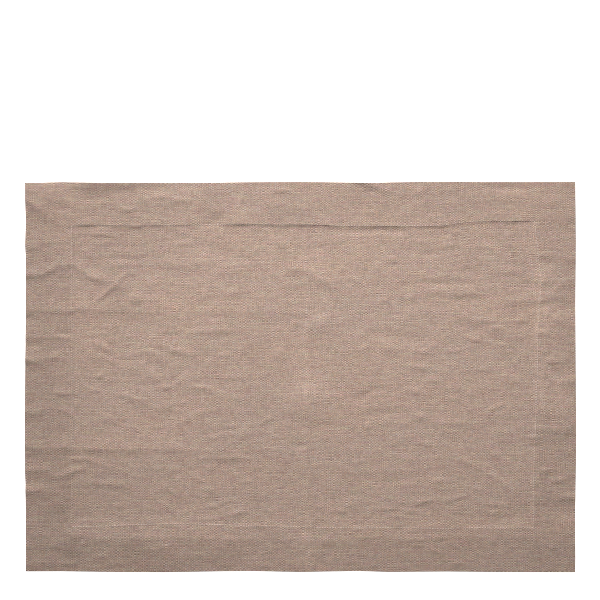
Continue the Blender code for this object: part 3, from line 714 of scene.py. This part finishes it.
def linen_material(cloth):
    """Plain weave: threads of uneven spacing, shade and hue, with painted shade in the gaps between them and
    a painted highlight on their crowns.
    """
    g = Graph("linen_plain_weave")
    u, v = g.own_map(THREAD_MAP)

    # The threads run straight but unevenly spaced.
    warp_drift = g.spread(g.grain(WARP_DRIFT, u, v), cloth.wander)
    weft_drift = g.spread(g.grain(WEFT_DRIFT, u, v), WEFT_WANDER * cloth.wander)
    warp, across_warp, warp_strand = cloth_thread(g, u, warp_drift, cloth.warp_pitch)
    weft, across_weft, weft_strand = cloth_thread(g, v, weft_drift, cloth.weft_pitch)

    # 1 where the warp passes over the weft, -1 where it passes under.
    over = g.linear(g.math("PINGPONG", g.sum(warp, weft), 1.0), 2.0, -1.0)

    # Each thread rises over the thread it crosses and dips under the next one.
    warp_wave = g.linear(g.times(over, across_weft), 0.5, 0.5)
    weft_wave = g.linear(g.times(over, across_warp), -0.5, 0.5)
    height = g.math("MAXIMUM", g.times(across_warp, warp_wave), g.times(across_weft, weft_wave))

    # Painted highlight on the crowns and painted shade in the gaps; warp and weft crowns get painted light
    # and shade of their own.
    warp_shade = g.grain(WARP_SHADE, warp_strand, v)
    weft_shade = g.grain(WEFT_SHADE, u, weft_strand)
    light = g.linear(height, cloth.crown_highlight, cloth.lightness)
    light = g.linear(over, g.spread(warp_shade, cloth.check_stripes, cloth.check_shading), light)
    light = g.sum(light, g.spread(g.dice(warp, weft), cloth.fibre_contrast))
    light = g.sum(light, g.spread(warp_shade, cloth.warp_contrast))
    light = g.sum(light, g.spread(weft_shade, cloth.weft_contrast))

    # The fine lines that the reed left, and the ribs of every other weft, come and go.
    reed = g.math("COSINE", g.times(u, 2.0 * pi / cloth.reed_pitch))
    reed_shade = g.grain(REED_SHADE, u, v)
    light = g.linear(reed, g.spread(reed_shade, cloth.reed_contrast, REED_BASE * cloth.reed_contrast), light)
    rib = g.linear(g.math("PINGPONG", weft, 1.0), 2.0, -1.0)
    light = g.linear(rib, g.spread(g.grain(RIB_SHADE, u, v), cloth.rib_contrast), light)
    # The colour runs from the deep end, with the gaps' painted shade, to the pale end, with its painted
    # sheen.
    colour = g.mix(light, tuple(cloth.deep_and_shade_colour), tuple(cloth.pale_and_sheen_colour))

    # Warmer and cooler warp strands, fibres and broad patches, and greener and redder weft strands.
    strand_hue = g.spread(g.grain(STRAND_HUE, warp_strand, v), cloth.strand_hue)
    hue = g.sum(strand_hue, g.spread(g.grain(PATCH_HUE, u, v, detail=2.0), cloth.patch_hue))
    hue = g.sum(hue, g.spread(g.dice(weft_strand, warp_strand), cloth.fibre_hue))
    # Painted shade and light of broad slopes and of the hem, with some uneven tone, deepens or pales every
    # channel.
    tone = g.node("Attribute", {}, attribute_name=TONE)["Fac"]
    moss = g.spread(g.grain(MOSS_HUE, u, weft_strand), cloth.moss_hue, 1.0)
    tints = {
        "Red": g.times(tone, g.sum(1.0, hue)),
        "Green": g.times(tone, moss),
        "Blue": g.times(tone, g.math("SUBTRACT", 1.0, hue)),
    }
    tint = g.node("CombineColor", tints)["Color"]
    g.finish(Base_Color=g.mix(1.0, colour, tint, blend="MULTIPLY"))

    g.finish(Roughness=g.linear(height, -LINEN_SHINE, LINEN_ROUGHNESS))
    g.bump(height, LINEN_RELIEF)
    g.fill(g.shader, LINEN_FINISH)
    return g.material


def thread_material(sewing):
    """Matt sewing thread with painted light and shade along the lay of its twist, and painted shade where it
    dips into the needle holes.
    """
    g = Graph("sewing_thread_matt")
    around, run = g.own_map(LAY_MAP)
    # Painted light and shade along the twist, and painted shade at the ends where the stitch dips into its
    # holes.
    twist = g.math("SINE", g.times(g.sum(g.times(run, THREAD_TURNS), around), 2.0 * pi))
    ends = g.math("POWER", g.math("ABSOLUTE", g.spread(run, 1.0)), ENDS_POWER)
    light = g.linear(ends, ENDS_PAINTED_SHADE, g.linear(twist, TWIST_PAINTED_LIGHT, THREAD_LIGHT))
    deep = tuple(THREAD_DEPTH * channel for channel in sewing.thread_colour[:3]) + (1.0,)
    g.finish(
        Base_Color=g.mix(light, deep, tuple(sewing.thread_colour)),
        Roughness=g.linear(twist, TWIST_ROUGHNESS, THREAD_ROUGHNESS),
    )
    g.bump(twist, TWIST_RELIEF)
    return g.material


def new_piece(name, mesh, material):
    """Adds a finished mesh to the scene as a piece that rides on the mat's one body."""
    mesh.materials.append(material)
    piece = bpy.data.objects.new(name, mesh)
    bpy.context.scene.collection.objects.link(piece)
    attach(piece, "root")
    return piece


def new_mesh(name, bm):
    """Turns a finished bmesh into a mesh."""
    mesh = bpy.data.meshes.new(name)
    bm.to_mesh(mesh)
    bm.free()
    return mesh


def values_of(items, name, kind=float, width=1):
    """Numpy array of one value, or of a row of them, for every item of a mesh."""
    values = np.empty(width * len(items), dtype=kind)
    items.foreach_get(name, values)
    return values.reshape(-1, width) if width > 1 else values


class PLACEMAT_OT_cloth(bpy.types.Operator):
    """Make the cloth, with its hem turned under"""

    bl_idname = "placemat.cloth"
    bl_label = "Cloth"

    ROLL = 0.2                            # reach of the rolled outer edge, in millimetres
    INNER_ROLL = 0.05                     # and of its inner side, where the cloth is pressed
    EDGE_ROW = 0.15                       # width of the row of faces just inside the roll
    FACE_ROLL_STEPS = 4                   # rows of faces round the roll
    BACK_ROLL_STEPS = 2
    UNDER_STEPS = 6                       # rows of faces across the part turned under
    HEMS = (HEM_LEFT, HEM_RIGHT, HEM_BOTTOM, HEM_TOP)
    BAKE_SCALE = 0.32                     # size of the hidden sides on the bake map, to the face
    BAKE_ROOM = 1.0 / 3.0                 # room of each of them, side by side over the face
    BAKE_ROW = 0.715                      # where the rooms begin, up the map, and the gap between two
    BAKE_GAP = 0.005
    JOINT_SCALE = 0.97                    # keeps the raw edge's two lines apart on the bake map
    NEAR = 0.01                           # less than this, in millimetres or as a share, is none

    def execute(self, context):
        settings = context.scene.placemat_cloth
        mesh = self.straight_sheet(settings)
        self.shape(mesh, settings)
        piece = new_piece(CLOTH, mesh, linen_material(settings))
        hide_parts(CLOTH_NODE)
        return {"FINISHED"}

    def straight_sheet(self, settings):
        """The sheet in the plane of the straight mat: each side's rings lie under its own grid."""
        bm = bmesh.new()
        self.ring = bm.verts.layers.float.new("ring")
        self.back = bm.verts.layers.float.new("back")
        rims = self.side(bm, settings.face_pitch / MM, self.FACE_ROLL_STEPS, 0.0, self.ROLL)
        rims += self.side(bm, settings.back_pitch / MM, self.BACK_ROLL_STEPS, 1.0, self.INNER_ROLL)
        for axis, low, high in ((0, ROW_LEFT, ROW_RIGHT), (1, ROW_BOTTOM, ROW_TOP)):
            for end in (low + HEM_TURN, high - HEM_TURN):
                chain = [
                    edge for edge in rims
                    if all(abs(vert.co[axis] - end) < self.NEAR for vert in edge.verts)
                ]
                bmesh.ops.bridge_loops(bm, edges=chain)
        return new_mesh(CLOTH, bm)

    def side(self, bm, pitch, roll_steps, back, roll):
        """One side of the cloth: a grid, then rings round the rolled edge and back under the hem."""
        columns = lines(self.marks(LENGTH / 2, HEM_LEFT, HEM_RIGHT), pitch)
        rows = lines(self.marks(WIDTH / 2, HEM_BOTTOM, HEM_TOP), pitch)
        last_column = len(columns) - 1
        last_row = len(rows) - 1
        grid = bmesh.ops.create_grid(bm, x_segments=last_column, y_segments=last_row, size=0.5)["verts"]
        for vert in grid:
            vert.co.x = columns[round((vert.co.x + 0.5) * last_column)]
            vert.co.y = rows[round((vert.co.y + 0.5) * last_row)]
            vert.co.z = back
            vert[self.back] = back
        rim = list(dict.fromkeys(edge for vert in grid for edge in vert.link_edges if edge.is_boundary))
        start = {vert: vert.co.copy() for edge in rim for vert in edge.verts}
        for step in range(1, roll_steps + 1):
            turn = step / roll_steps
            insets = [self.ROLL - roll * sin(pi * turn)] * 4
            rim, start = self.grow(bm, rim, start, turn, insets, back)
        for step in range(1, self.UNDER_STEPS + 1):
            share = step / self.UNDER_STEPS
            insets = [self.ROLL + share * (hem + HEM_TURN - self.ROLL) for hem in self.HEMS]
            rim, start = self.grow(bm, rim, start, 1.0 + share, insets, back)
        return rim

    def marks(self, half, low_hem, high_hem):
        """Lines that the grid must have: the roll's, those of the row inside it, and the hem's section."""
        return sorted(
            [-half + self.ROLL, -half + self.ROLL + self.EDGE_ROW]
            + [half - self.ROLL - self.EDGE_ROW, half - self.ROLL]
            + [-half + low_hem + inward for inward, height in HEM_SECTION]
            + [half - high_hem - inward for inward, height in HEM_SECTION]
        )

    def grow(self, bm, rim, start, ring, insets, back):
        """Adds one ring of faces at the rim. Its points keep their share of each side's length."""
        left, right, bottom, top = insets
        grown = bmesh.ops.extrude_edge_only(bm, edges=rim)["geom"]
        new_start = {}
        for vert in (item for item in grown if isinstance(item, bmesh.types.BMVert)):
            parent = next(
                edge.other_vert(vert) for edge in vert.link_edges if edge.other_vert(vert) in start
            )
            base = start[parent]
            new_start[vert] = base
            share_u = (base.x + LENGTH / 2 - self.ROLL) / (LENGTH - 2 * self.ROLL)
            share_v = (base.y + WIDTH / 2 - self.ROLL) / (WIDTH - 2 * self.ROLL)
            vert.co.x = left - LENGTH / 2 + share_u * (LENGTH - left - right)
            vert.co.y = bottom - WIDTH / 2 + share_v * (WIDTH - bottom - top)
            vert[self.ring] = ring
            vert[self.back] = back
        new_rim = [item for item in grown if isinstance(item, bmesh.types.BMEdge) and item.is_boundary]
        return new_rim, new_start

    def shape(self, mesh, settings):
        """Moves the straight sheet's points to their real places, and gives it its maps."""
        u, v, _ = values_of(mesh.vertices, "co", width=3).T
        ring, back = (values_of(mesh.attributes[name].data, "value") for name in ("ring", "back"))
        x, y = place(u, v)
        height = face_height(u, v, x, y)
        half = height / 2 - back * settings.thickness / MM
        z = height / 2 + half * np.cos(pi * np.minimum(ring, 1.0))
        mesh.vertices.foreach_set("co", (np.column_stack((x, y, z)) * MM).ravel())
        tone = mesh.attributes.new(TONE, "FLOAT", "POINT")
        tone.data.foreach_set("value", painted_shade_and_tone(u, v, x, y))
        self.maps(mesh, u, v, ring, back)
        for name in ("ring", "back"):
            mesh.attributes.remove(mesh.attributes[name])
        bm = bmesh.new()
        bm.from_mesh(mesh)
        bmesh.ops.recalc_face_normals(bm, faces=bm.faces[:])
        bm.to_mesh(mesh)
        bm.free()
        mesh.shade_smooth()

    def maps(self, mesh, u, v, ring, back):
        """Maps the threads, which run on round the edge, and gives every side its room on a bake map."""
        corners = values_of(mesh.loops, "vertex_index", np.int64)
        counts = values_of(mesh.polygons, "loop_total", np.int64)
        owner = np.repeat(np.arange(len(counts)), counts)

        def of_face(values):
            return (np.bincount(owner, values[corners]) / counts)[owner]

        def insets(at_u, at_v):
            return np.stack((at_u + LENGTH / 2, LENGTH / 2 - at_u, at_v + WIDTH / 2, WIDTH / 2 - at_v))

        # Each face belongs to the hem that it is nearest to, and unfolds to that hem's side.
        reach = np.array([hem + HEM_TURN for hem in self.HEMS])
        side = np.argmin(insets(of_face(u), of_face(v)) / reach[:, None], axis=0)
        ring_share, back_share = of_face(ring), of_face(back)
        past = ring_share > 0.0
        u, v, ring, back = u[corners], v[corners], ring[corners], back[corners]
        own = insets(u, v)[side, np.arange(len(corners))]
        turned = self.ROLL - self.ROLL * pi * np.minimum(ring, 1.0)
        unfolded = turned - np.where(ring > 1.0, own - self.ROLL, 0.0)
        ends = np.array([-LENGTH / 2, LENGTH / 2, -WIDTH / 2, WIDTH / 2])[side]
        signs = np.array([1.0, -1.0, 1.0, -1.0])[side]
        thread_u = np.where(past & (side < 2), ends + signs * unfolded, u)
        thread_v = np.where(past & (side > 1), ends + signs * unfolded, v)
        threads = mesh.uv_layers.new(name=THREAD_MAP)
        threads.uv.foreach_set("vector", (np.column_stack((thread_u, thread_v)) * MM).ravel())

        # The face has the map's lower part, the part turned under with its raw edge has room 1 over it,
        # and the inner sides of the two have rooms 2 and 3.
        joint = (back_share > self.NEAR) & (back_share < 1.0 - self.NEAR)
        room = np.where(ring_share > 0.5, 1, 0) + np.where((back_share > 0.5) & ~joint, 2, 0)
        room = np.where(joint, 1, room)
        spare = np.where(joint & (back > 0.5), self.JOINT_SCALE, 1.0)
        bake_u = (spare * u + LENGTH / 2) / LENGTH
        bake_v = (spare * v + WIDTH / 2) / LENGTH
        hidden = room > 0
        hidden_u = (room - 1) * self.BAKE_ROOM + self.BAKE_GAP + self.BAKE_SCALE * bake_u
        bake_u = np.where(hidden, hidden_u, bake_u)
        bake_v = np.where(hidden, self.BAKE_ROW + self.BAKE_SCALE * bake_v, bake_v)
        bake = mesh.uv_layers.new(name=BAKE_MAP)
        bake.uv.foreach_set("vector", np.column_stack((bake_u, bake_v)).ravel())
        mesh.uv_layers[THREAD_MAP].active = True
        mesh.uv_layers[THREAD_MAP].active_render = True


class PLACEMAT_OT_topstitching(bpy.types.Operator):
    """Make the rows of stitches that hold the hem, on the face and on the underside"""

    bl_idname = "placemat.topstitching"
    bl_label = "Topstitching"

    SIDES = 6                             # faces round a stitch, and along it
    STEPS = 6
    LENGTH_SHARE = 0.92                   # of the stitch spacing
    SINK = 0.09                           # how deep the stitch's middle line lies, in millimetres
    ARCH = 0.15                           # how much lower its ends lie
    UNDER_HEIGHT = 0.20                   # height of the underside's stitches over the table

    def execute(self, context):
        settings = context.scene.placemat_sewing
        stitch = self.stitch(settings)
        bm = bmesh.new()
        bm.loops.layers.uv.new(LAY_MAP)
        corners = ((ROW_LEFT, ROW_BOTTOM), (ROW_RIGHT, ROW_BOTTOM), (ROW_RIGHT, ROW_TOP), (ROW_LEFT, ROW_TOP))
        for start, end in zip(corners, corners[1:] + corners[:1]):
            self.row(bm, stitch, start, end, settings)
        bpy.data.meshes.remove(stitch)
        mesh = new_mesh(SEWING, bm)
        mesh.shade_smooth()
        piece = new_piece(SEWING, mesh, thread_material(settings))
        return {"FINISHED"}

    def stitch(self, settings):
        """One stitch along X, arched so that its ends dip into the cloth."""
        bm = bmesh.new()
        bm.loops.layers.uv.new(LAY_MAP)
        bmesh.ops.create_uvsphere(
            bm, u_segments=self.SIDES, v_segments=self.STEPS, radius=1.0, calc_uvs=True
        )
        bmesh.ops.rotate(bm, verts=bm.verts, matrix=Matrix.Rotation(pi / 2, 3, "Y"))
        radius = settings.thread_radius
        half = self.LENGTH_SHARE * settings.stitch_pitch / 2
        for vert in bm.verts:
            arch = self.ARCH * MM * vert.co.x ** 2
            vert.co = Vector((half * vert.co.x, radius * vert.co.y, radius * vert.co.z - arch))
        return new_mesh("one stitch", bm)

    def row(self, bm, stitch, start, end, settings):
        """Lays one row of stitches along the cloth, and its turned-over copy under the hem."""
        run = Vector(end) - Vector(start)
        count = round(run.length * MM / settings.stitch_pitch)
        shares = np.linspace(0.0, 1.0, count + 1)
        u = start[0] + shares * run.x
        v = start[1] + shares * run.y
        x, y = place(u, v)
        z = face_height(u, v, x, y) - self.SINK
        holes = [Vector(point) * MM for point in zip(x, y, z)]
        for first, second in zip(holes, holes[1:]):
            ahead = (second - first).normalized()
            middle = (first + second) / 2
            self.lay(bm, stitch, middle, ahead, 1.0)
            under = Vector((middle.x, middle.y, self.UNDER_HEIGHT * MM))
            flat = Vector((ahead.x, ahead.y, 0.0)).normalized()
            self.lay(bm, stitch, under, flat, -1.0)

    def lay(self, bm, stitch, middle, ahead, up):
        """Adds a copy of the stitch, turned to run ahead with its back up or down."""
        side = Vector((0.0, 0.0, up)).cross(ahead).normalized()
        turn = Matrix((ahead, side, ahead.cross(side))).transposed().to_4x4()
        copy = stitch.copy()
        copy.transform(Matrix.Translation(middle) @ turn)
        bm.from_mesh(copy)
        bpy.data.meshes.remove(copy)


class PLACEMAT_OT_stage(bpy.types.Operator):
    """Make the pale floor, the soft lights and the camera over the mat"""

    bl_idname = "placemat.stage"
    bl_label = "Floor, lights and camera"

    FRAME_WIDTH = 0.5456                  # width of the camera's view at the table
    FRAME_CENTRE = (-0.00041, 0.0699)     # middle of the view on the table
    SENSOR = 36.0                         # width of the camera's sensor, in millimetres
    PIXEL_FILTER = 1.0                    # as sharp as a product photograph
    FLOOR_DROP = 0.0003                   # gap between the mat and the floor
    FLOOR_ROUGHNESS = 0.9
    FLOOR_GLOW = 0.9
    KEY_DISTANCE = 2.0
    KEY_BEARING = radians(18.0)           # turned to the left from straight beyond the mat
    KEY_SIZE = (1.1, 0.55)

    def execute(self, context):
        settings = context.scene.placemat_stage
        self.floor(context, settings)
        self.lights(context, settings)
        self.camera(context, settings)
        context.scene.view_settings.view_transform = "Standard"
        context.scene.cycles.filter_width = self.PIXEL_FILTER
        return {"FINISHED"}

    def floor(self, context, settings):
        bm = bmesh.new()
        bmesh.ops.create_grid(bm, x_segments=1, y_segments=1, size=settings.floor_size / 2)
        bmesh.ops.translate(bm, verts=bm.verts, vec=(0.0, 0.0, -self.FLOOR_DROP))
        mesh = new_mesh("floor", bm)
        floor = bpy.data.objects.new("floor", mesh)
        context.scene.collection.objects.link(floor)
        g = Graph("pale_floor")
        g.finish(Base_Color=tuple(settings.floor_colour), Roughness=self.FLOOR_ROUGHNESS)
        g.finish(Emission_Color=WHITE, Emission_Strength=self.FLOOR_GLOW)
        mesh.materials.append(g.material)

    def lights(self, context, settings):
        world = bpy.data.worlds.new("even light")
        world.use_nodes = True
        background = world.node_tree.nodes["Background"]
        background.inputs["Color"].default_value = WHITE
        background.inputs["Strength"].default_value = settings.sky
        context.scene.world = world
        key = bpy.data.lights.new("main light", "AREA")
        key.shape = "RECTANGLE"
        key.size, key.size_y = self.KEY_SIZE
        key.energy = settings.key_power
        low = cos(settings.key_height)
        way = Vector((-sin(self.KEY_BEARING) * low, cos(self.KEY_BEARING) * low, sin(settings.key_height)))
        turn = (-way).to_track_quat("-Z", "Y").to_matrix().to_4x4()
        lamp = bpy.data.objects.new("main light", key)
        lamp.matrix_world = Matrix.Translation(way * self.KEY_DISTANCE) @ turn
        context.scene.collection.objects.link(lamp)

    def camera(self, context, settings):
        camera = bpy.data.cameras.new("camera")
        camera.sensor_width = self.SENSOR
        camera.lens = settings.lens
        eye = bpy.data.objects.new("camera", camera)
        eye.location = (*self.FRAME_CENTRE, self.FRAME_WIDTH * settings.lens / self.SENSOR)
        context.scene.collection.objects.link(eye)
        context.scene.camera = eye


class PLACEMAT_PT_panel(bpy.types.Panel):
    """Lists the steps that build the placemat, with their settings"""

    bl_idname = "PLACEMAT_PT_panel"
    bl_label = "Placemat"
    bl_space_type = "VIEW_3D"
    bl_region_type = "UI"
    bl_category = "Placemat"

    def draw(self, context):
        for step, (name, group) in zip(STEPS, SETTINGS.items()):
            box = self.layout.box()
            for setting in group.__annotations__:
                box.prop(getattr(context.scene, name), setting)
            box.operator(step.bl_idname)


STEPS = (PLACEMAT_OT_cloth, PLACEMAT_OT_topstitching, PLACEMAT_OT_stage)
SETTINGS = {
    "placemat_cloth": ClothSettings,
    "placemat_sewing": SewingSettings,
    "placemat_stage": StageSettings,
}


def register():
    for group in SETTINGS.values():
        bpy.utils.register_class(group)
    for step in STEPS + (PLACEMAT_PT_panel,):
        bpy.utils.register_class(step)
    for name, group in SETTINGS.items():
        setattr(bpy.types.Scene, name, PointerProperty(type=group))


def unregister():
    for name in SETTINGS:
        delattr(bpy.types.Scene, name)
    for step in (PLACEMAT_PT_panel,) + STEPS:
        bpy.utils.unregister_class(step)
    for group in SETTINGS.values():
        bpy.utils.unregister_class(group)


def main():
    register()
    bpy.ops.placemat.cloth()
    bpy.ops.placemat.topstitching()
    bpy.ops.placemat.stage()


if __name__ == "__main__":
    main()
